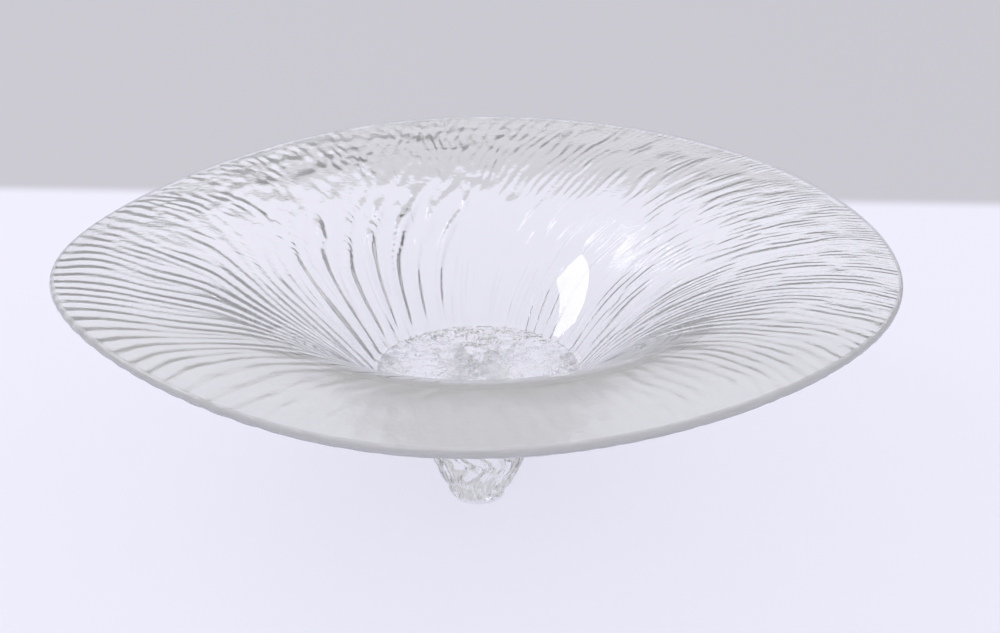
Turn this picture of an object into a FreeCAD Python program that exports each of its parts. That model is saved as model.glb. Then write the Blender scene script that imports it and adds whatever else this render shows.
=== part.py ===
"""Three-footed bowl of clear glass, hot-worked: a wide flared shell with a gently wavy lip, fused
round a thick tapered base plug, and three tapered feet fused under that. Z is up, the bowl's own
axis is the Z axis, and the feet stand on z = 0. All lengths are in millimetres.

Each piece is one of the gathers of glass that the bowl is put together from while it is hot:
    bowl_shell    the flared wall with its fire-polished lip
    base_plug     the thick floor of the well, which the shell closes round
    foot_front, foot_back_right, foot_back_left    the feet, fused to the plug's underside
"""

import math
import os

import FreeCAD, Part
import Sketcher
from FreeCAD import Vector

# ------------------------------------------------------------------ driving dimensions

SIZES = [
    ("rim_radius", 150.0, "outer radius of the lip"),
    ("rim_thickness", 3.5, "thickness of the glass at the lip"),
    ("well_depth", 46.4, "depth from the lip's mean upper side to the floor of the well"),
    ("floor_radius", 37.0, "radius of the well's floor"),
    ("floor_crown", 0.8, "how far the floor rises in its middle"),
    ("base_thickness", 11.0, "thickness of the base plug"),
    ("base_spread", 8.0, "how much wider the plug is below than at the floor"),
    ("fused_gap", 0.0, "clearance of a joint made hot: the glass closes up"),
    ("inner_flare", 2.6, "power of the inside curve, higher for a steeper well"),
    ("outer_flare", 3.1, "power of the outside curve"),
    ("lip_droop", 1.0, "how far the lip curls down at its edge"),
    ("lip_width", 14.0, "width of the band that curls down"),
    ("foot_height", 28.3, "height of the plug's underside above the table"),
    ("foot_tip_radius", 9.5, "radius of a foot at the table"),
    ("foot_inset", 0.6, "distance of a foot's top from the underside's edge"),
    ("foot_spacing", 0.8, "distance between the tops of two feet"),
    ("foot_bulge", 1.6, "how far a foot's flank swells out from a straight taper"),
    ("foot_rounding", 2.2, "rounding of a foot's lower edge"),
    ("wave_two_swing", 1.85, "swing of the lip's wave with two crests"),
    ("wave_two_turn", 110.0, "its turn, in degrees of its own period"),
    ("wave_three_swing", 2.65, "swing of the lip's wave with three crests"),
    ("wave_three_turn", 260.0, "its turn, in degrees of its own period"),
    ("wave_four_swing", 1.0, "swing of the lip's wave with four crests"),
    ("wave_four_turn", 131.0, "its turn, in degrees of its own period"),
]

FEET = {"foot_front": -90.0, "foot_back_right": 30.0, "foot_back_left": 150.0}

# Sizes that several pieces share, worked out from the sheet in its own expression language.
BASE_RADIUS = "(Sizes.floor_radius + Sizes.base_spread)"
FOOT_CIRCLE = (
    f"(({BASE_RADIUS} - Sizes.foot_inset + Sizes.foot_spacing / 2) / (1 + sin(60 deg)))"
)
FOOT_TOP_RADIUS = f"({BASE_RADIUS} - Sizes.foot_inset - {FOOT_CIRCLE})"
FOOT_LENGTH = "(Sizes.foot_height - Sizes.fused_gap)"
FOOT_CHORD_SQUARED = f"(({FOOT_TOP_RADIUS} - Sizes.foot_tip_radius) ^ 2 + {FOOT_LENGTH} ^ 2)"
FLANK_RADIUS = f"({FOOT_CHORD_SQUARED} / (8 * Sizes.foot_bulge) + Sizes.foot_bulge / 2)"

RING_POINTS = 48  # points round each ring of the shell
SIDE_RINGS = 12  # rings across each side of the shell
LIP_RINGS = 5  # rings round the rounded lip
RING_CROWDING = 1.8  # rings crowd towards the well, where the side is steepest


def make_sheet(doc):
    """The spreadsheet that every piece reads its sizes from."""
    sheet = doc.addObject("Spreadsheet::Sheet", "Sizes")
    for row, (name, value, meaning) in enumerate(SIZES, start=1):
        sheet.set(f"A{row}", name)
        sheet.set(f"B{row}", str(value))
        sheet.set(f"C{row}", meaning)
        sheet.setAlias(f"B{row}", name)
    doc.recompute()
    return sheet


# ------------------------------------------------------------------ bowl_shell


class ShellForm:
    """Heights of the shell's two sides over any point, from the sheet's sizes."""

    def __init__(self, sheet):
        self.size = sheet
        self.base_radius = sheet.floor_radius + sheet.base_spread
        self.floor_height = sheet.foot_height + sheet.base_thickness
        self.rim_height = self.floor_height + sheet.well_depth
        self.lip_centre = sheet.rim_radius - sheet.rim_thickness / 2.0

    def wave(self, angle):
        """How far the lip stands above its mean height at an angle round the bowl."""
        size = self.size
        waves = (
            (2, size.wave_two_swing, size.wave_two_turn),
            (3, size.wave_three_swing, size.wave_three_turn),
            (4, size.wave_four_swing, size.wave_four_turn),
        )
        return sum(
            swing * math.cos(crests * angle - math.radians(turn))
            for crests, swing, turn in waves
        )

    def edge_shift(self, radius, angle):
        """What the waves and the curled lip add to the height of either side."""
        size = self.size
        share = (radius - size.floor_radius) / (size.rim_radius - size.floor_radius)
        curl = max(0.0, 1.0 - (size.rim_radius - radius) / size.lip_width)
        return self.wave(angle) * share**2 - size.lip_droop * curl**2

    def inside(self, radius, angle):
        """Height of the smooth upper side."""
        size = self.size
        share = (radius - size.floor_radius) / (size.rim_radius - size.floor_radius)
        flare = 1.0 - (1.0 - share) ** size.inner_flare
        return self.floor_height + size.well_depth * flare + self.edge_shift(radius, angle)

    def outside(self, radius, angle):
        """Height of the underside, which starts level at the plug's lower edge."""
        size = self.size
        share = (radius - self.base_radius) / (size.rim_radius - self.base_radius)
        flare = 1.0 - (1.0 - share) ** size.outer_flare
        rise = self.rim_height - size.rim_thickness - size.foot_height
        settled = min(1.0, 4.0 * share)
        return size.foot_height + rise * flare + settled * self.edge_shift(radius, angle)


def ring(radius, height):
    """A closed smooth wire round the bowl's axis. height is a function of the angle. Every ring has
    its knots at the same angles, so that the surfaces lofted through them meet edge on edge."""
    angles = [2.0 * math.pi * index / RING_POINTS for index in range(RING_POINTS + 1)]
    points = [
        Vector(radius * math.cos(angle), radius * math.sin(angle), height(angle))
        for angle in angles[:-1]
    ]
    curve = Part.BSplineCurve()
    curve.interpolate(Points=points, PeriodicFlag=True, Parameters=angles)
    return Part.Wire([curve.toShape()])


def side_rings(first, last, side):
    """One side's rings, from the well to the lip."""
    rings = []
    for index in range(SIDE_RINGS):
        share = (index / (SIDE_RINGS - 1)) ** RING_CROWDING
        radius = first + (last - first) * share
        rings.append(ring(radius, lambda angle: side(radius, angle)))
    return rings


def lip_rings(form):
    """The half-round edge of the lip, from the upper side to the underside."""
    rings = []
    reach = form.size.rim_radius - form.lip_centre
    for index in range(LIP_RINGS):
        turn = math.pi / 2.0 - math.pi * index / (LIP_RINGS - 1)

        def height(angle):
            top = form.inside(form.lip_centre, angle)
            bottom = form.outside(form.lip_centre, angle)
            return (top + bottom + (top - bottom) * math.sin(turn)) / 2.0

        rings.append(ring(form.lip_centre + reach * math.cos(turn), height))
    return rings


def make_shell(doc, sheet):
    """The flared wall: upper side, rounded lip, underside, and the taper that sits on the plug.
    A wavy skin like this can't be padded or revolved, so it is lofted ring by ring."""
    form = ShellForm(sheet)
    inside = side_rings(sheet.floor_radius, form.lip_centre, form.inside)
    outside = side_rings(form.base_radius, form.lip_centre, form.outside)
    lip = [inside[-1], *lip_rings(form)[1:-1], outside[-1]]
    lofts = [
        Part.makeLoft(inside, False, False),
        Part.makeLoft(lip, False, False),
        Part.makeLoft(outside, False, False),
        Part.makeLoft([inside[0], outside[0]], False, True),
    ]
    skin = Part.Shell([face for loft in lofts for face in loft.Faces])
    skin.sewShape()
    solid = Part.Solid(skin)
    if solid.Volume < 0:
        solid.reverse()
    shell = doc.addObject("Part::Feature", "bowl_shell")
    shell.Shape = solid
    return shell


# ------------------------------------------------------------------ sketches


def number(sketch, expression):
    """What an expression on the sheet comes to now."""
    return float(sketch.evalExpression(expression))


def origin_feature(body, role):
    return next(part for part in body.Origin.OriginFeatures if part.Role == role)


def profile_sketch(body):
    """An empty sketch on the body's XZ plane: sketch x is a radius and sketch y a height."""
    sketch = body.newObject("Sketcher::SketchObject", body.Name + "_profile")
    sketch.AttachmentSupport = [(origin_feature(body, "XZ_Plane"), "")]
    sketch.MapMode = "FlatFace"
    return sketch


def join_ends(sketch, edges):
    """Joins the edges of an outline, given as (edge, first end, last end), all the way round."""
    for (edge, _, last), (following, first, _) in zip(edges, edges[1:] + edges[:1]):
        sketch.addConstraint(Sketcher.Constraint("Coincident", edge, last, following, first))


def dimension(sketch, name, expression, kind, *where):
    """Adds a named dimension and binds it to the sheet."""
    index = sketch.addConstraint(
        Sketcher.Constraint(kind, *where, number(sketch, expression))
    )
    sketch.renameConstraint(index, name)
    sketch.setExpression(f"Constraints.{name}", expression)


def revolve(doc, body, sketch):
    """Turns a profile once round the body's Z axis."""
    turned = body.newObject("PartDesign::Revolution", body.Name + "_turned")
    turned.Profile = sketch
    turned.ReferenceAxis = (origin_feature(body, "Z_Axis"), [""])
    turned.Angle = 360.0
    doc.recompute()
    return turned


# A sketch numbers an edge's start 1, its end 2 and its centre 3. Point 1 of geometry -1 is the
# sketch's origin, and geometry -2 is its vertical axis.
START, END, CENTRE = 1, 2, 3
ORIGIN, UPRIGHT = -1, -2


# ------------------------------------------------------------------ base_plug


def make_base_plug(doc):
    """The floor of the well: a taper, wider below, that fills the shell's opening. Its top is a
    low crown, a single arc whose centre is on the axis."""
    body = doc.addObject("PartDesign::Body", "base_plug")
    sketch = profile_sketch(body)
    top_radius = "Sizes.floor_radius - Sizes.fused_gap"
    low_radius = f"{BASE_RADIUS} - Sizes.fused_gap"
    edge = Vector(number(sketch, top_radius), number(sketch, "Sizes.base_thickness"), 0)
    corner = Vector(number(sketch, low_radius), 0, 0)
    peak = Vector(0, edge.y + number(sketch, "Sizes.floor_crown"), 0)
    sagitta = peak.y - edge.y
    crown_radius = edge.x**2 / (2.0 * sagitta) + sagitta / 2.0
    half_turn = math.asin(edge.x / crown_radius)
    upright = math.pi / 2.0
    crown_circle = Part.Circle(Vector(0, peak.y - crown_radius, 0), Vector(0, 0, 1), crown_radius)
    axis = sketch.addGeometry(Part.LineSegment(peak, Vector(0, 0, 0)), False)
    under = sketch.addGeometry(Part.LineSegment(Vector(0, 0, 0), corner), False)
    taper = sketch.addGeometry(Part.LineSegment(corner, edge), False)
    crown = sketch.addGeometry(
        Part.ArcOfCircle(crown_circle, upright - half_turn, upright), False
    )
    join_ends(
        sketch,
        [(axis, START, END), (under, START, END), (taper, START, END), (crown, START, END)],
    )
    sketch.addConstraint(Sketcher.Constraint("Coincident", axis, END, ORIGIN, START))
    sketch.addConstraint(Sketcher.Constraint("Vertical", axis))
    sketch.addConstraint(Sketcher.Constraint("Horizontal", under))
    sketch.addConstraint(Sketcher.Constraint("PointOnObject", crown, CENTRE, UPRIGHT))
    dimension(sketch, "under_radius", low_radius, "DistanceX", ORIGIN, START, under, END)
    dimension(sketch, "floor_radius", top_radius, "DistanceX", ORIGIN, START, taper, END)
    dimension(
        sketch, "thickness", "Sizes.base_thickness", "DistanceY", ORIGIN, START, taper, END
    )
    dimension(sketch, "crown", "Sizes.floor_crown", "DistanceY", taper, END, axis, START)
    revolve(doc, body, sketch)
    body.setExpression("Placement.Base.z", "Sizes.foot_height")
    return body


# ------------------------------------------------------------------ the feet


def make_foot(doc, name, turn):
    """One foot, at an angle in degrees round the bowl: a flat tip, a flank that swells out in one
    arc, and a round seat that closes on the plug's underside."""
    body = doc.addObject("PartDesign::Body", name)
    sketch = profile_sketch(body)
    tip = Vector(number(sketch, "Sizes.foot_tip_radius"), 0, 0)
    height = number(sketch, FOOT_LENGTH)
    seat = Vector(number(sketch, FOOT_TOP_RADIUS), height, 0)
    chord = seat - tip
    swell = Vector(chord.y, -chord.x, 0).normalize() * number(sketch, "Sizes.foot_bulge")
    axis = sketch.addGeometry(Part.LineSegment(Vector(0, height, 0), Vector(0, 0, 0)), False)
    sole = sketch.addGeometry(Part.LineSegment(Vector(0, 0, 0), tip), False)
    flank = sketch.addGeometry(Part.Arc(tip, tip + chord * 0.5 + swell, seat), False)
    top = sketch.addGeometry(Part.LineSegment(seat, Vector(0, height, 0)), False)
    join_ends(
        sketch, [(axis, START, END), (sole, START, END), (flank, START, END), (top, START, END)]
    )
    sketch.addConstraint(Sketcher.Constraint("Coincident", axis, END, ORIGIN, START))
    sketch.addConstraint(Sketcher.Constraint("Vertical", axis))
    sketch.addConstraint(Sketcher.Constraint("Horizontal", sole))
    sketch.addConstraint(Sketcher.Constraint("Horizontal", top))
    dimension(sketch, "height", FOOT_LENGTH, "DistanceY", axis, END, axis, START)
    dimension(sketch, "tip_radius", "Sizes.foot_tip_radius", "DistanceX", sole, START, sole, END)
    dimension(sketch, "seat_radius", FOOT_TOP_RADIUS, "DistanceX", top, END, top, START)
    dimension(sketch, "flank_radius", FLANK_RADIUS, "Radius", flank)
    turned = revolve(doc, body, sketch)
    rounding = body.newObject("PartDesign::Fillet", name + "_rounding")
    rounding.Base = (turned, [sole_edge(turned.Shape)])
    rounding.setExpression("Radius", "min(Sizes.foot_rounding; 0.4 * Sizes.foot_tip_radius)")
    body.setExpression("Placement.Base.x", f"{FOOT_CIRCLE} * cos({turn} deg)")
    body.setExpression("Placement.Base.y", f"{FOOT_CIRCLE} * sin({turn} deg)")
    body.setExpression("Placement.Rotation.Angle", f"{turn} deg")
    return body


def sole_edge(shape):
    """Name of the round edge where the sole meets the flank: the lowest closed edge."""
    closed = [index for index, edge in enumerate(shape.Edges) if edge.isClosed()]
    lowest = min(closed, key=lambda index: shape.Edges[index].CenterOfMass.z)
    return f"Edge{lowest + 1}"


# ------------------------------------------------------------------ build and write


def check(doc, pieces):
    """Stops with a message if any object failed or any piece isn't a sound solid."""
    for item in doc.Objects:
        if "Invalid" in item.State or "Error" in item.State:
            raise RuntimeError(f"{item.Name} failed: {item.State}")
    for piece in pieces:
        shape = piece.Shape
        if shape.isNull() or not shape.isValid() or shape.Volume <= 0:
            raise RuntimeError(f"{piece.Label} has no sound shape")


def main():
    doc = FreeCAD.newDocument("glass_bowl")
    sheet = make_sheet(doc)
    pieces = [make_shell(doc, sheet), make_base_plug(doc)]
    pieces += [make_foot(doc, name, turn) for name, turn in FEET.items()]
    doc.recompute()
    check(doc, pieces)
    os.makedirs("parts", exist_ok=True)
    for piece in pieces:
        piece.Shape.exportStep(os.path.join("parts", piece.Label + ".step"))
        box = piece.Shape.BoundBox
        print(f"{piece.Label}: {piece.Shape.Volume / 1000:.1f} cm3, z {box.ZMin:.1f} to {box.ZMax:.1f}")


main()
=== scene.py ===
"""A three-footed bowl of clear hot-worked glass on a pale table. The flared shell is smooth inside
and carries bark-like ridges on its underside, the well's floor is crumpled like ice, and the feet
are drawn and tooled. Sizes are in millimetres and meshes in metres."""

import math

import bpy
import numpy as np
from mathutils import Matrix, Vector


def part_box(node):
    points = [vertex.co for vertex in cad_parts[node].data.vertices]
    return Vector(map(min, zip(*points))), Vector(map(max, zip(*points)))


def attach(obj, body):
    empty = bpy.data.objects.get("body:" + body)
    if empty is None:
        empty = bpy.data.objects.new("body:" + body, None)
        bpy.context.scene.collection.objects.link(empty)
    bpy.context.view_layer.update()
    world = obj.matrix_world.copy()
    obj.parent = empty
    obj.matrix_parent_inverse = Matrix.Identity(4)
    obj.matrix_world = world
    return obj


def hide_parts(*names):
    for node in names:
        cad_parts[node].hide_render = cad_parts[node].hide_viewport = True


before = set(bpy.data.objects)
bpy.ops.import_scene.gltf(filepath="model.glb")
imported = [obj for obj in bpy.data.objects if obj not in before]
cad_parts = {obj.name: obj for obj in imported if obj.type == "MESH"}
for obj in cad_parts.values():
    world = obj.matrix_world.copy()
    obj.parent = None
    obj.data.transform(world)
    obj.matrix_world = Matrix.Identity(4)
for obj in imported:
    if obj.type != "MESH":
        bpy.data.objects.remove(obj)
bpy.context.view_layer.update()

MM = 0.001

# ------------------------------------------------------------------ bowl_shell
# The flared wall of the bowl, one gather of clear glass blown and pressed into a mould cut like
# tree bark, then opened out hot so that its lip waves and the ridges swing clockwise. The inside is
# fire-polished. It closes hot round the base plug, so nothing shows where they meet.

RIM_RADIUS = 150.0
RIM_THICKNESS = 3.5
WELL_DEPTH = 46.4
FLOOR_RADIUS = 37.0
BASE_RADIUS = 45.0
BASE_THICKNESS = 11.0
UNDERSIDE_HEIGHT = 28.3
FLOOR_HEIGHT = UNDERSIDE_HEIGHT + BASE_THICKNESS
INNER_FLARE = 2.6
OUTER_FLARE = 3.1
LIP_DROOP = 1.0
LIP_WIDTH = 14.0
LIP_WAVES = ((2, 1.85, 110.0), (3, 2.65, 260.0), (4, 1.0, 131.0))  # crests, swing, turn in degrees
LIP_CENTRE = RIM_RADIUS - RIM_THICKNESS / 2.0
RIM_HEIGHT = FLOOR_HEIGHT + WELL_DEPTH
SHELL_STEPS = 720  # spin steps; the underside is then cut twice as fine
INSIDE_SLACK = 0.45  # faces this close under the inside surface belong to it


def lip_wave(angle):
    """How far the lip stands above its mean height at an angle round the bowl."""
    return sum(swing * np.cos(crests * angle - math.radians(turn)) for crests, swing, turn in LIP_WAVES)


def edge_shift(radius, angle):
    """How far the wall follows the lip's waves, less and less towards the floor."""
    share = (radius - FLOOR_RADIUS) / (RIM_RADIUS - FLOOR_RADIUS)
    return lip_wave(angle) * share**2


def droop(radius):
    """How far the outermost part of the wall sags."""
    return LIP_DROOP * np.maximum(0.0, 1.0 - (RIM_RADIUS - radius) / LIP_WIDTH) ** 2


def inside_height(radius):
    """Mean height of the inside surface."""
    share = (radius - FLOOR_RADIUS) / (RIM_RADIUS - FLOOR_RADIUS)
    return FLOOR_HEIGHT + WELL_DEPTH * (1.0 - (1.0 - share) ** INNER_FLARE) - droop(radius)


def freed(radius):
    """0 where the underside meets the base plug, and 1 from a quarter of the way to the lip."""
    return np.minimum(1.0, 4.0 * np.clip((radius - BASE_RADIUS) / (RIM_RADIUS - BASE_RADIUS), 0.0, 1.0))


def underside_height(radius):
    """Mean height of the underside."""
    share = np.clip((radius - BASE_RADIUS) / (RIM_RADIUS - BASE_RADIUS), 0.0, 1.0)
    rise = RIM_HEIGHT - RIM_THICKNESS - UNDERSIDE_HEIGHT
    return UNDERSIDE_HEIGHT + rise * (1.0 - (1.0 - share) ** OUTER_FLARE) - freed(radius) * droop(radius)


def add_outline(name, outline, closed):
    """Adds a circle with a corner for each point of an outline and lays it along the outline, which
    is given as radius and height. An open outline gives up the circle's last edge."""
    bpy.ops.object.select_all(action="DESELECT")
    bpy.ops.mesh.primitive_circle_add(vertices=len(outline), radius=1.0)
    piece = bpy.context.object
    piece.name = piece.data.name = name
    places = np.array([(radius * MM, 0.0, height * MM) for radius, height in outline])
    piece.data.vertices.foreach_set("co", places.ravel())
    if not closed:
        bpy.ops.object.mode_set(mode="EDIT")
        bpy.ops.mesh.select_mode(type="EDGE")
        bpy.ops.mesh.select_all(action="DESELECT")
        bpy.ops.object.mode_set(mode="OBJECT")
        ends = {0, len(outline) - 1}
        for edge in piece.data.edges:
            edge.select = set(edge.vertices) == ends
        bpy.ops.object.mode_set(mode="EDIT")
        bpy.ops.mesh.delete(type="EDGE")
        bpy.ops.object.mode_set(mode="OBJECT")
    return piece


def turn_outline(piece, steps):
    """Spins the outline once round the bowl's axis and closes it into a skin that faces outward."""
    bpy.ops.object.mode_set(mode="EDIT")
    bpy.ops.mesh.select_mode(type="VERT")
    bpy.ops.mesh.select_all(action="SELECT")
    bpy.ops.mesh.spin(steps=steps, angle=2.0 * math.pi, center=(0, 0, 0), axis=(0, 0, 1))
    bpy.ops.mesh.select_all(action="SELECT")
    bpy.ops.mesh.remove_doubles(threshold=1e-6)
    bpy.ops.mesh.normals_make_consistent(inside=False)
    bpy.ops.object.mode_set(mode="OBJECT")


def read_places(piece):
    """The mesh's points in millimetres."""
    flat = np.empty(len(piece.data.vertices) * 3)
    piece.data.vertices.foreach_get("co", flat)
    return flat.reshape(-1, 3) / MM


def write_places(piece, places):
    """Moves the mesh's points to places in millimetres."""
    piece.data.vertices.foreach_set("co", (places * MM).ravel())
    piece.data.update()


def face_places(piece):
    """Middles of the mesh's faces in millimetres."""
    flat = np.empty(len(piece.data.polygons) * 3)
    piece.data.polygons.foreach_get("center", flat)
    return flat.reshape(-1, 3) / MM


def cut_finer(piece, chosen):
    """Cuts each chosen face in four."""
    bpy.ops.object.mode_set(mode="EDIT")
    bpy.ops.mesh.select_mode(type="FACE")
    bpy.ops.mesh.select_all(action="DESELECT")
    bpy.ops.object.mode_set(mode="OBJECT")
    piece.data.polygons.foreach_set("select", chosen)
    bpy.ops.object.mode_set(mode="EDIT")
    bpy.ops.mesh.subdivide(number_cuts=1, ngon=False)
    bpy.ops.object.mode_set(mode="OBJECT")


def smooth_noise(seed, around, along, turns, reach):
    """Soft random swells between -1 and 1, so many of them round the bowl and from its base to its
    lip. They close on themselves after a full turn."""
    grid = np.random.default_rng(seed).uniform(-1.0, 1.0, (along + 2, around))
    column = (turns % 1.0) * around
    row = np.clip(reach, 0.0, 1.0) * along
    left, low = np.floor(column).astype(int), np.floor(row).astype(int)
    across, up = column - left, row - low
    across = across * across * (3.0 - 2.0 * across)
    up = up * up * (3.0 - 2.0 * up)
    left, right = left % around, (left + 1) % around
    bottom = grid[low, left] * (1.0 - across) + grid[low, right] * across
    top = grid[low + 1, left] * (1.0 - across) + grid[low + 1, right] * across
    return bottom * (1.0 - up) + top * up


def step_up(value, start, end):
    """Rises softly from 0 at start to 1 at end."""
    share = np.clip((value - start) / (end - start), 0.0, 1.0)
    return share * share * (3.0 - 2.0 * share)


def near_angle(angle, middle, width):
    """1 at an angle round the bowl, in degrees, and 0 from so many degrees away."""
    gap = (np.degrees(angle) - middle + 180.0) % 360.0 - 180.0
    return 1.0 - step_up(np.abs(gap), 0.0, width)


# The mould's ridges: broad pads between narrow grooves. There are 36 grooves where the wall leaves
# the base, and each pad splits in two and then in four on the way to the lip, or further where the
# bark is fine.
BASE_GROOVES = 36
SPLITTING = 1.2
FINE_SPLITTING = 0.9
SWIRL_MEAN = 15.0
SWIRL_SWING = 13.0
SWIRL_MIDDLE = 135.0

# Where the bark changes: the middle of each stretch and its reach to either side, in degrees.
BROKEN_BARK = (122.0, 75.0)
FINE_BARK = (25.0, 100.0)
WORN_BARK = (-80.0, 75.0)


def bark_depth(radius, angle):
    """How deep the mould's grooves cut into the underside, in millimetres. They are deep and long on
    the left, broken like bark at the back left, fine on the right, and worn soft in front."""
    turns = angle / (2.0 * math.pi)
    reach = (radius - BASE_RADIUS) / (RIM_RADIUS - BASE_RADIUS)
    lean = np.radians(SWIRL_MEAN + SWIRL_SWING * np.cos(angle - math.radians(SWIRL_MIDDLE)))
    swirl = np.tan(lean) * np.log(radius / BASE_RADIUS) / (2.0 * math.pi)
    turns = turns + swirl * step_up(reach, 0.0, 0.5)
    broken = near_angle(angle, *BROKEN_BARK) * step_up(reach, 0.12, 0.38)
    fine = near_angle(angle, *FINE_BARK)
    worn = near_angle(angle, *WORN_BARK) * step_up(reach, 0.1, 0.4)
    turns = turns + 0.0042 * smooth_noise(1, 34, 6, turns, reach)
    turns = turns + 0.0045 * broken * smooth_noise(2, 80, 20, turns, reach)
    turns = turns + 0.0010 * fine * step_up(reach, 0.1, 0.3) * smooth_noise(3, 220, 36, turns, reach)
    level = SPLITTING * np.log2(np.maximum(radius, BASE_RADIUS) / BASE_RADIUS) + FINE_SPLITTING * fine
    pads = np.zeros_like(radius)
    for splits in range(5):
        share = np.clip(1.0 - np.abs(level - splits), 0.0, 1.0)
        share = share * share * (3.0 - 2.0 * share)
        count = BASE_GROOVES * 2**splits
        drift = 1.8 * smooth_noise(10 + splits, count // 4, 3, turns, reach)
        pads += share * np.cos(math.pi * count * turns + drift)
    pads = np.abs(pads)
    depth = 1.05 - 0.55 * step_up(reach, 0.0, 0.5)
    depth = depth * (1.0 - 0.45 * fine) * (1.0 - 0.7 * worn)
    strokes = 0.5 + 0.5 * smooth_noise(20, 150, 14, turns, reach)
    strokes = 1.0 - (0.8 * fine + 0.5 * worn + 0.25) * step_up(strokes, 0.35, 0.75)
    groove = (1.0 - pads ** (1.35 + 0.45 * worn)) * depth * np.maximum(strokes, 0.05)
    lumps = 0.5 * broken * step_up(smooth_noise(30, 120, 36, turns, reach), -0.1, 0.6)
    return groove + lumps + deep_grooves(turns, reach)


# A few grooves at the back left of the well are wider and deeper than the rest.
DEEP_GROOVES = (
    (108.0, 0.9), (116.0, 1.5), (124.0, 2.2), (133.0, 1.8), (143.0, 1.3), (153.0, 1.5), (164.0, 1.1),
)  # angle in degrees, depth in millimetres
GROOVE_WIDTH = 1.3  # half width in degrees


def deep_grooves(turns, reach):
    """Depth of the few deep grooves, which start at the base and fade out halfway up the wall."""
    depth = np.zeros_like(turns)
    fade = step_up(reach, 0.02, 0.1) * (1.0 - step_up(reach, 0.3, 0.5))
    for middle, cut in DEEP_GROOVES:
        gap = (turns * 360.0 - middle + 180.0) % 360.0 - 180.0
        depth += cut * np.exp(-((gap / GROOVE_WIDTH) ** 2)) * fade
    return depth


inside_radii = FLOOR_RADIUS + (LIP_CENTRE - FLOOR_RADIUS) * np.linspace(0.0, 1.0, 22) ** 1.5
outside_radii = BASE_RADIUS + (LIP_CENTRE - BASE_RADIUS) * np.linspace(1.0, 0.0, 27) ** 1.35
lip_turns = np.radians(np.linspace(90.0, -90.0, 9)[1:-1])
lip_top = float(inside_height(LIP_CENTRE))
lip_low = float(underside_height(LIP_CENTRE))
outline = [(r, inside_height(r)) for r in inside_radii]
outline += [
    (
        LIP_CENTRE + RIM_THICKNESS / 2.0 * math.cos(turn),
        (lip_top + lip_low + (lip_top - lip_low) * math.sin(turn)) / 2.0,
    )
    for turn in lip_turns
]
outline += [(r, underside_height(r)) for r in outside_radii]
shell = add_outline("shell_of_bark_glass", outline, closed=True)
turn_outline(shell, SHELL_STEPS)


def is_underside(places, slack):
    """Which points lie on the moulded underside, before the lip is waved. slack takes in points so far
    inside its first ring."""
    radius = np.hypot(places[:, 0], places[:, 1])
    middle = (inside_height(np.minimum(radius, LIP_CENTRE)) + underside_height(radius)) / 2.0
    return (places[:, 2] < middle) & (radius >= BASE_RADIUS - slack)


middles = face_places(shell)
moulded = is_underside(middles, 0.0) & (np.hypot(middles[:, 0], middles[:, 1]) < LIP_CENTRE)
cut_finer(shell, moulded)
places = read_places(shell)
radius = np.hypot(places[:, 0], places[:, 1])
angle = np.arctan2(places[:, 1], places[:, 0])
under = is_underside(places, 1e-3)
on_side = under & (radius <= LIP_CENTRE + 1e-3)
places[on_side, 2] = underside_height(radius[on_side])

# The underside's own slope turns the grooves' depth into a push square to the glass.
slope = (underside_height(radius + 0.05) - underside_height(radius - 0.05)) / 0.1
slope = np.where(radius > LIP_CENTRE, 0.0, slope)
slant = np.hypot(slope, 1.0)
held = step_up(radius, BASE_RADIUS, BASE_RADIUS + 3.0)
depth = np.where(under, bark_depth(np.maximum(radius, BASE_RADIUS), angle) * held, 0.0)
places[:, 0] -= depth * slope / slant * np.cos(angle)
places[:, 1] -= depth * slope / slant * np.sin(angle)
places[:, 2] += depth / slant
wave_radius = np.clip(radius, FLOOR_RADIUS, LIP_CENTRE)
places[:, 2] += np.where(under, freed(radius), 1.0) * edge_shift(wave_radius, angle)
write_places(shell, places)


def linear(colour):
    """An sRGB hex colour as linear red, green, blue and alpha."""
    parts = [int(colour[start:start + 2], 16) / 255.0 for start in (0, 2, 4)]
    return (*(c / 12.92 if c <= 0.04045 else ((c + 0.055) / 1.055) ** 2.4 for c in parts), 1.0)


def add_node(tree, kind, settings, sockets):
    """Adds a node. Each socket takes a plain value, or another node's output to be linked to."""
    node = tree.nodes.new(kind)
    for name, value in settings.items():
        setattr(node, name, value)
    for name, value in sockets.items():
        if isinstance(value, bpy.types.NodeSocket):
            tree.links.new(value, node.inputs[name])
        else:
            node.inputs[name].default_value = value
    return node


def clear_glass(name, grain, relief, clearness, colour):
    """Soda glass. grain is the size of its finest ripples in millimetres, relief their height and
    clearness the share of the light that its skin doesn't scatter."""
    material = bpy.data.materials.new(name)
    material.use_nodes = True
    tree = material.node_tree
    tree.nodes.clear()
    place = add_node(tree, "ShaderNodeTexCoord", {}, {})
    ripples = add_node(
        tree, "ShaderNodeTexNoise", {},
        {"Vector": place.outputs["Object"], "Scale": 1.0 / (grain * MM), "Detail": 2.0},
    )
    bump = add_node(
        tree, "ShaderNodeBump", {},
        {"Height": ripples.outputs["Fac"], "Distance": relief * MM, "Strength": 1.0},
    )
    glass = add_node(
        tree, "ShaderNodeBsdfPrincipled", {},
        {
            "Base Color": linear(colour), "Roughness": 0.0, "IOR": 1.5,
            "Transmission Weight": clearness, "Normal": bump.outputs["Normal"],
        },
    )
    add_node(tree, "ShaderNodeOutputMaterial", {}, {"Surface": glass.outputs["BSDF"]})
    return material


# Fused glass: where two gathers are joined hot there is no surface left, so a face there shows nothing.
fused_glass = bpy.data.materials.new("fused_glass")
fused_glass.use_nodes = True
fused_glass.node_tree.nodes["Principled BSDF"].inputs["Alpha"].default_value = 0.0

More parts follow.
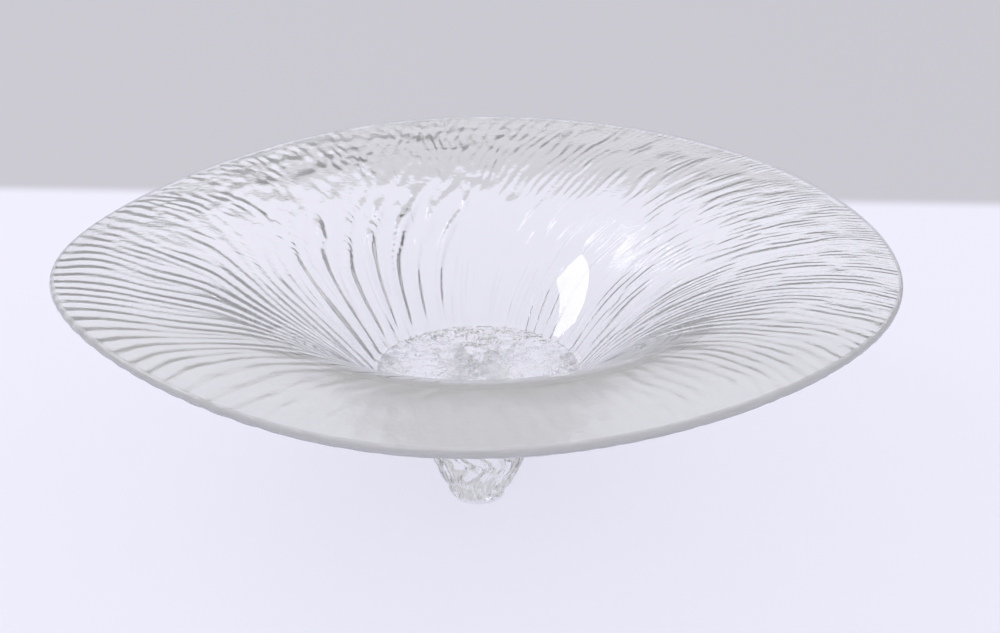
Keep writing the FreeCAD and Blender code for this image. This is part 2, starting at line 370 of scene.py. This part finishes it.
# Fire-polished glass gives the inside its clean mirror. Bark glass has a fine bloom over its ridges.
# The lip's glass is painted grey and milky: painted shade, standing in for the pale grey that light running
# through the thick edge gives it.
fire_polished_glass = clear_glass("fire_polished_glass", 14.0, 0.05, 1.0, "FFFFFF")
bark_glass = clear_glass("bark_glass", 1.6, 0.09, 0.80, "FFFFFF")
lip_glass_painted_grey = clear_glass("lip_glass_painted_grey", 3.0, 0.10, 0.58, "E2E2E6")

# The front of the flange is finely pitted, so it blurs what lies behind it. Its grey there is painted shade:
# towards the front the skin is made milkier and tinted a faint grey-cream.
PITS_AND_SHADE_START = -30.0
PITS_AND_SHADE_FULL = -100.0
tree = bark_glass.node_tree
glass = tree.nodes["Principled BSDF"]
parts = add_node(
    tree, "ShaderNodeSeparateXYZ", {}, {"Vector": tree.nodes["Texture Coordinate"].outputs["Object"]}
)


def pits_and_painted_shade(clear, full):
    """A value that goes from clear to full over the front of the flange."""
    return add_node(
        tree, "ShaderNodeMapRange", {"interpolation_type": "SMOOTHSTEP"},
        {
            "Value": parts.outputs["Y"], "From Min": PITS_AND_SHADE_START * MM, "From Max": PITS_AND_SHADE_FULL * MM,
            "To Min": clear, "To Max": full,
        },
    )


tree.links.new(pits_and_painted_shade(0.0, 0.15).outputs["Result"], glass.inputs["Roughness"])
# Painted shade: the skin turns milkier towards the front, so the front of the flange reads greyer.
tree.links.new(pits_and_painted_shade(0.80, 0.64).outputs["Result"], glass.inputs["Transmission Weight"])
# Painted shade: a faint grey-cream tint over the front of the flange.
front = pits_and_painted_shade(0.0, 1.0)
painted_front_shade = add_node(
    tree, "ShaderNodeMix", {"data_type": "RGBA"},
    {"Factor": front.outputs["Result"], 6: linear("FFFFFF"), 7: linear("F2F2EE")},
)
tree.links.new(painted_front_shade.outputs[2], glass.inputs["Base Color"])


def finish_piece(piece, materials, face_kinds):
    """Gives each face its material and its smooth shading."""
    for material in materials:
        piece.data.materials.append(material)
    piece.data.polygons.foreach_set("material_index", face_kinds.astype(np.int32))
    piece.data.polygons.foreach_set("use_smooth", np.ones(len(piece.data.polygons), bool))
    piece.data.update()


middles = face_places(shell)
middle_radius = np.hypot(middles[:, 0], middles[:, 1])
middle_angle = np.arctan2(middles[:, 1], middles[:, 0])
wall_radius = np.clip(middle_radius, FLOOR_RADIUS, LIP_CENTRE)
inner = inside_height(wall_radius) + edge_shift(wall_radius, middle_angle)
smooth_side = middles[:, 2] > inner - INSIDE_SLACK
taper_side = (middle_radius < BASE_RADIUS) & (middles[:, 2] < FLOOR_HEIGHT)
on_lip = middle_radius > LIP_CENTRE
kinds = np.where(taper_side, 2, np.where(on_lip, 3, np.where(smooth_side, 0, 1)))
finish_piece(shell, [fire_polished_glass, bark_glass, fused_glass, lip_glass_painted_grey], kinds)
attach(shell, "root")
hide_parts("bowl_shell")

# ------------------------------------------------------------------ base_plug
# The thick floor of the well, a second gather of clear glass fused into the shell. Its top is faintly
# domed and dimpled, and its underside, chilled and tooled while hot, is crumpled like ice.

FLOOR_CROWN = 0.8
ICE_DEPTH = 1.6
DIMPLE_SHARE = 0.45  # the top's dimples against the depth of the ice
PLUG_RINGS = 44
SEAT_SNAP = 0.45  # points this close to a foot's seat move onto its circle
FACETS = 900

crown_radii = np.linspace(0.0, FLOOR_RADIUS, 38)
crown_round = FLOOR_RADIUS**2 / (2.0 * FLOOR_CROWN) + FLOOR_CROWN / 2.0
crown_heights = FLOOR_HEIGHT + FLOOR_CROWN - crown_round + np.sqrt(crown_round**2 - crown_radii**2)
outline = list(zip(crown_radii, crown_heights))
outline += [(r, UNDERSIDE_HEIGHT) for r in np.linspace(BASE_RADIUS, 0.0, PLUG_RINGS)]
plug = add_outline("plug_of_ice_glass", outline, closed=False)
turn_outline(plug, SHELL_STEPS)

FEET = {"foot_front": "drawn_foot_front", "foot_back_right": "drawn_foot_back_right",
        "foot_back_left": "drawn_foot_back_left"}
foot_middles = {}
for node in FEET:
    low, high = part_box(node)
    foot_middles[node] = ((low[0] + high[0]) / 2.0 / MM, (low[1] + high[1]) / 2.0 / MM)
low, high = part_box("foot_front")
FOOT_TOP_RADIUS = (high[0] - low[0]) / 2.0 / MM
FOOT_HEIGHT = high[2] / MM


def seat_gap(places):
    """Distance outward from the nearest foot's seat."""
    gaps = [np.hypot(places[:, 0] - x, places[:, 1] - y) - FOOT_TOP_RADIUS for x, y in foot_middles.values()]
    return np.min(gaps, axis=0)


def ice_depth(places):
    """How deep the chilled glass is crumpled: flat facets that meet in sharp creases."""
    x, y = places[:, 0], places[:, 1]
    seeds = np.random.default_rng(5).uniform(-48.0, 48.0, (FACETS, 2))
    tilts = np.random.default_rng(6).uniform(-0.55, 0.55, (FACETS, 2))
    lifts = np.random.default_rng(7).uniform(0.2, 1.0, FACETS)
    depth = np.zeros(len(x))
    for start in range(0, len(x), 4000):
        part = slice(start, start + 4000)
        gap_x = x[part, None] - seeds[None, :, 0]
        gap_y = y[part, None] - seeds[None, :, 1]
        nearest = np.argmin(gap_x**2 + gap_y**2, axis=1)
        rows = np.arange(len(nearest))
        tilt = gap_x[rows, nearest] * tilts[nearest, 0] + gap_y[rows, nearest] * tilts[nearest, 1]
        depth[part] = ICE_DEPTH * lifts[nearest] + tilt
    return np.maximum(depth, 0.0)


places = read_places(plug)
flat = places[:, 2] < UNDERSIDE_HEIGHT + 1e-3
for x, y in foot_middles.values():
    away = places[:, :2] - (x, y)
    length = np.hypot(away[:, 0], away[:, 1])
    close = flat & (np.abs(length - FOOT_TOP_RADIUS) < SEAT_SNAP)
    places[close, :2] = (x, y) + away[close] * (FOOT_TOP_RADIUS / length[close])[:, None]
gap = seat_gap(places)
edge = BASE_RADIUS - np.hypot(places[:, 0], places[:, 1])
open_glass = flat & (gap > 0.05)
held = step_up(gap, 0.0, 1.2) * step_up(edge, 0.0, 1.5)
places[open_glass, 2] += (ice_depth(places) * held)[open_glass]

# The upper side dips where it froze over the crumpled glass below.
on_top = places[:, 2] > FLOOR_HEIGHT - 1e-3
crown_edge = FLOOR_RADIUS - np.hypot(places[:, 0], places[:, 1])
dip = DIMPLE_SHARE * ice_depth(places[:, :2] * 0.8 + 3.0) * step_up(crown_edge, 0.0, 2.5)
places[on_top, 2] -= dip[on_top]
write_places(plug, places)

middles = face_places(plug)
middle_radius = np.hypot(middles[:, 0], middles[:, 1])
normals = np.empty(len(plug.data.polygons) * 3)
plug.data.polygons.foreach_get("normal", normals)
facing = normals.reshape(-1, 3)[:, 2]
seats = (facing < -0.2) & (seat_gap(middles) < 0.0)
taper = (middle_radius > FLOOR_RADIUS) & (facing > -0.2)
top = (facing > 0.2) & (middle_radius < FLOOR_RADIUS)
kinds = np.where(seats | taper, 2, np.where(top, 0, 1))

# Ice glass glitters from below. Well glass spreads that glitter over the floor of the well.
ice_glass = clear_glass("ice_glass", 1.2, 0.12, 0.94, "FFFFFF")
well_glass = clear_glass("well_glass", 1.8, 0.30, 0.94, "FFFFFF")
finish_piece(plug, [well_glass, ice_glass, fused_glass], kinds)
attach(plug, "root")
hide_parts("base_plug")

# ------------------------------------------------------------------ the feet
# Three gathers fused under the plug, drawn down hot, ribbed by the tool and cut off flat, so their
# flanks are uneven and their tips are ground level.

FOOT_TIP_RADIUS = 9.5
FOOT_BULGE = 1.6
FOOT_ROUNDING = 2.2
FOOT_STEPS = 180
RIB_DEPTH = 1.1
RIBS = 14.0

chord = math.hypot(FOOT_TOP_RADIUS - FOOT_TIP_RADIUS, FOOT_HEIGHT)
flank_radius = chord**2 / (8.0 * FOOT_BULGE) + FOOT_BULGE / 2.0


def foot_outline():
    """The foot's outline from the middle of its seat to the middle of its sole."""
    tip, seat = np.array((FOOT_TIP_RADIUS, 0.0)), np.array((FOOT_TOP_RADIUS, FOOT_HEIGHT))
    along = (seat - tip) / chord
    square = np.array((along[1], -along[0]))
    centre = (tip + seat) / 2.0 - square * (flank_radius - FOOT_BULGE)
    half = math.asin(chord / 2.0 / flank_radius)
    flank = [
        centre + flank_radius * (square * math.cos(turn) + along * math.sin(turn))
        for turn in np.linspace(half, -half * 0.86, 40)
    ]
    start = flank[-1]
    corner = np.array((FOOT_TIP_RADIUS + 0.3, 0.0))
    end = np.array((FOOT_TIP_RADIUS - FOOT_ROUNDING, 0.0))
    rounding = [
        (1 - t) ** 2 * start + 2 * t * (1 - t) * corner + t * t * end for t in np.linspace(0.0, 1.0, 8)[1:]
    ]
    seat_rings = [(r, FOOT_HEIGHT) for r in np.linspace(0.0, FOOT_TOP_RADIUS, 5)[:-1]]
    sole_rings = [(r, 0.0) for r in np.linspace(end[0], 0.0, 5)[1:]]
    return seat_rings + [tuple(p) for p in flank] + [tuple(p) for p in rounding] + sole_rings


# Foot glass is clear, with short ripples that break up what is seen through it.
foot_glass = clear_glass("foot_glass", 1.4, 0.12, 0.94, "FFFFFF")
for order, (node, name) in enumerate(FEET.items()):
    foot = add_outline(name, foot_outline(), closed=False)
    turn_outline(foot, FOOT_STEPS)
    places = read_places(foot)
    radius = np.hypot(places[:, 0], places[:, 1])
    angle = np.arctan2(places[:, 1], places[:, 0])
    turns = angle / (2.0 * math.pi)
    reach = places[:, 2] / FOOT_HEIGHT
    flank = step_up(radius, FOOT_TIP_RADIUS - FOOT_ROUNDING, FOOT_TIP_RADIUS)
    flank = flank * step_up(1.0 - reach, 0.0, 0.08) * step_up(reach, 0.0, 0.05)
    ribs = np.abs(np.cos(math.pi * RIBS * turns + 2.2 * smooth_noise(60 + order, 7, 3, turns, reach)))
    crumple = smooth_noise(70 + order, 22, 11, turns, reach) * 0.5 + 0.5
    dent = smooth_noise(80 + order, 5, 2, turns, reach) * 0.5 + 0.5
    depth = flank * (RIB_DEPTH * (1.0 - ribs**0.7) + 0.7 * crumple * (1.2 - reach) + 0.9 * dent)
    shrink = 1.0 - depth / np.maximum(radius, 1.0)
    places[:, 0] *= shrink
    places[:, 1] *= shrink
    x, y = foot_middles[node]
    places[:, 0] += x
    places[:, 1] += y
    write_places(foot, places)
    middles = face_places(foot)
    seat = middles[:, 2] > FOOT_HEIGHT - 1e-3
    finish_piece(foot, [foot_glass, fused_glass], np.where(seat, 1, 0))
    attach(foot, "root")
    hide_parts(node)

# ------------------------------------------------------------------ the table and its backdrop
# A matt, lilac-white table top that runs into a grey sweep behind the bowl. It partly shows its own
# colour, so that it stays pale and even, and still takes the bowl's shadow.

TABLE_EDGE = 0.2865  # metres behind the bowl's middle, like the other sizes from here on
bpy.ops.object.select_all(action="DESELECT")
bpy.ops.mesh.primitive_plane_add(size=8.0)
table = bpy.context.object
table.name = table.data.name = "table"
matt_table = bpy.data.materials.new("matt_table")
matt_table.use_nodes = True
tree = matt_table.node_tree
tree.nodes.clear()
place = add_node(tree, "ShaderNodeTexCoord", {}, {})
parts = add_node(tree, "ShaderNodeSeparateXYZ", {}, {"Vector": place.outputs["Object"]})
skew = add_node(tree, "ShaderNodeMath", {"operation": "MULTIPLY"}, {0: parts.outputs["X"], 1: 0.059})
behind = add_node(
    tree, "ShaderNodeMath", {"operation": "ADD"}, {0: parts.outputs["Y"], 1: skew.outputs["Value"]}
)
back = add_node(
    tree, "ShaderNodeMapRange", {"interpolation_type": "SMOOTHSTEP"},
    {"Value": behind.outputs["Value"], "From Min": TABLE_EDGE - 0.008, "From Max": TABLE_EDGE + 0.010},
)
colour = add_node(
    tree, "ShaderNodeMix", {"data_type": "RGBA"},
    {"Factor": back.outputs["Result"], 6: linear("F0EFFD"), 7: linear("CBCAD1")},
)
matt = add_node(tree, "ShaderNodeBsdfDiffuse", {}, {"Color": colour.outputs[2]})
plain = add_node(tree, "ShaderNodeEmission", {}, {"Color": colour.outputs[2], "Strength": 1.0})
ray = add_node(tree, "ShaderNodeLightPath", {}, {})
seen = add_node(
    tree, "ShaderNodeMath", {"operation": "MAXIMUM"},
    {0: ray.outputs["Is Camera Ray"], 1: ray.outputs["Is Transmission Ray"]},
)
share = add_node(
    tree, "ShaderNodeMath", {"operation": "MULTIPLY"}, {0: seen.outputs["Value"], 1: 0.75}
)
surface = add_node(
    tree, "ShaderNodeMixShader", {},
    {"Fac": share.outputs["Value"], 1: matt.outputs["BSDF"], 2: plain.outputs["Emission"]},
)
add_node(tree, "ShaderNodeOutputMaterial", {}, {"Surface": surface.outputs["Shader"]})
table.data.materials.append(matt_table)

# ------------------------------------------------------------------ the light
# A bright ceiling all round, a grey room low down, and one window high on the left.

world = bpy.data.worlds.new("studio")
bpy.context.scene.world = world
world.use_nodes = True
tree = world.node_tree
tree.nodes.clear()
way = add_node(tree, "ShaderNodeTexCoord", {}, {})
parts = add_node(tree, "ShaderNodeSeparateXYZ", {}, {"Vector": way.outputs["Generated"]})
height = add_node(
    tree, "ShaderNodeMapRange", {"interpolation_type": "SMOOTHSTEP"},
    {"Value": parts.outputs["Z"], "From Min": 0.15, "From Max": 0.55},
)
front = add_node(
    tree, "ShaderNodeMapRange", {"interpolation_type": "SMOOTHSTEP"},
    {"Value": parts.outputs["Y"], "From Min": -0.6, "From Max": 0.6, "To Min": 0.50, "To Max": 0.66},
)
level = add_node(
    tree, "ShaderNodeMix", {"data_type": "FLOAT"},
    {"Factor": height.outputs["Result"], 2: front.outputs["Result"], 3: 1.0},
)
sky = add_node(
    tree, "ShaderNodeBackground", {}, {"Color": linear("FBFBFF"), "Strength": level.outputs[0]}
)
add_node(tree, "ShaderNodeOutputWorld", {}, {"Surface": sky.outputs["Background"]})

WINDOW_PLACE = Vector((-0.87, 0.38, 1.05))
bpy.ops.object.light_add(type="AREA", location=WINDOW_PLACE)
window = bpy.context.object
window.name = window.data.name = "window"
window.data.shape = "RECTANGLE"
window.data.size = 0.30
window.data.size_y = 0.60
window.data.energy = 2.5
window.rotation_euler = (-WINDOW_PLACE).to_track_quat("-Z", "Y").to_euler()

# ------------------------------------------------------------------ the camera
# It looks down at the bowl from the front foot's side.

tilt, pan = math.radians(66.41), math.radians(-0.684)
bpy.ops.object.camera_add(location=(0.0, -0.6762, 0.3547), rotation=(tilt, 0.0, pan))
camera = bpy.context.object
camera.name = camera.data.name = "camera"
camera.data.lens = 73.3
camera.data.sensor_width = 36.0
bpy.context.scene.camera = camera
bpy.context.scene.view_settings.view_transform = "Standard"
bpy.context.scene.cycles.transmission_bounces = 40
bpy.context.scene.cycles.transparent_max_bounces = 24
bpy.context.scene.cycles.max_bounces = 40
